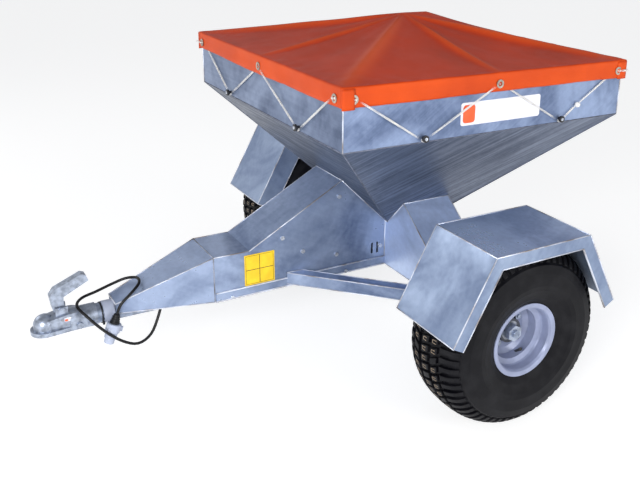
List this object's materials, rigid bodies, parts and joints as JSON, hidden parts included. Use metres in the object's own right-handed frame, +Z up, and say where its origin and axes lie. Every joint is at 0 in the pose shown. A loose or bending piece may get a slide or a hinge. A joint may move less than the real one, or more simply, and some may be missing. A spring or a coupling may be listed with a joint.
{
  "type": "garden spreader",
  "caption": "Towed spreader: a square funnel hopper under a laced cloth cover, on a folded drawbar with mudguarded wheels, a ball coupling and a spinner disc below.",
  "frame": {"origin": "on the ground in the middle of the machine's length and width", "axes": "+Z up, -Y forwards to the hitch, +X to the side shown in the picture"},
  "size_m": [1.538, 1.739, 1.136],
  "materials": {
    "galvanised_steel": "mottled galvanised sheet",
    "cover_cloth": "coated cloth",
    "eyelet_brass": "dull",
    "lacing": "braided",
    "black_plastic": "matte",
    "cable_sheath": "smooth",
    "white_plate": "gloss",
    "yellow_plate": "gloss",
    "zinc": "bright zinc",
    "grey_plastic": "satin",
    "rim_paint": "gloss",
    "tyre": "matte",
    "dark_casting": "painted",
    "bush_bronze": "oiled"
  },
  "bodies": {
    "chassis": {"hopper": "galvanised_steel", "cover": "cover_cloth", "cover_frame": "zinc", "cover_eyelets": "eyelet_brass", "lacing_cord": "lacing", "lacing_hooks": "black_plastic", "hook_bolts": "zinc", "side_plate": "white_plate", "drawbar_plate": "yellow_plate", "drawbar": "galvanised_steel", "drawbar_nose": "galvanised_steel", "belly_tray": "galvanised_steel", "drawbar_bolts": "zinc", "tow_tube": "zinc", "tube_collar": "grey_plastic", "coupling_head": "zinc", "coupling_bolts": "zinc", "lever_pin": "zinc", "jaw_pin": "zinc", "leg_box": "galvanised_steel", "axle_gussets": "galvanised_steel", "stub_axle_left": "zinc", "stub_axle_right": "zinc", "brace_left": "galvanised_steel", "brace_right": "galvanised_steel", "mudguard_left": "galvanised_steel", "mudguard_right": "galvanised_steel", "guard_stays": "galvanised_steel", "mudguard_bolts": "zinc", "axle_washers": "zinc", "axle_nuts": "zinc", "gate_rails": "galvanised_steel", "drop_chute": "galvanised_steel", "gearbox_hanger": "galvanised_steel", "gearbox": "dark_casting", "motor": "black_plastic", "floor_bush": "bush_bronze", "power_cable": "cable_sheath", "plug": "grey_plastic", "cable_tie": "black_plastic"},
    "wheel_left": {"rim_left": "rim_paint", "tyre_left": "tyre", "hub_left": "dark_casting", "bearings_left": "zinc", "wheel_nuts_left": "zinc", "valve_left": "black_plastic"},
    "wheel_right": {"rim_right": "rim_paint", "tyre_right": "tyre", "hub_right": "dark_casting", "bearings_right": "zinc", "wheel_nuts_right": "zinc", "valve_right": "black_plastic"},
    "lever": {"coupling_lever": "zinc"},
    "jaw": {"ball_jaw": "zinc"},
    "gate": {"gate_plate": "galvanised_steel", "gate_knob": "black_plastic"},
    "spinner": {"drive_shaft": "zinc", "spinner_disc": "zinc", "spinner_vanes": "zinc", "agitator": "zinc"}
  },
  "joints": [
    {"name": "wheel_left_spin", "type": "hinge", "parent": "chassis", "child": "wheel_left", "pos_m": [0.622, 0.336, 0.288], "axis": [1, 0, 0], "continuous": true},
    {"name": "wheel_right_spin", "type": "hinge", "parent": "chassis", "child": "wheel_right", "pos_m": [-0.622, 0.336, 0.288], "axis": [1, 0, 0], "continuous": true},
    {"name": "lever_hinge", "type": "hinge", "parent": "chassis", "child": "lever", "pos_m": [0, -0.784, 0.352], "axis": [1, 0, 0], "range_deg": [-40, 0]},
    {"name": "jaw_hinge", "type": "hinge", "parent": "chassis", "child": "jaw", "pos_m": [0, -0.786, 0.326], "axis": [1, 0, 0], "range_deg": [-20, 0]},
    {"name": "gate_slide", "type": "slide", "parent": "chassis", "child": "gate", "axis": [1, 0, 0], "range_m": [0, 0.11]},
    {"name": "spinner_spin", "type": "hinge", "parent": "chassis", "child": "spinner", "pos_m": [0, 0.406, 0.288], "axis": [0, 0, 1], "continuous": true}
  ],
  "couplings": [
    {"joint": "jaw_hinge", "follows": "lever_hinge", "ratio": 0.5}
  ]
}
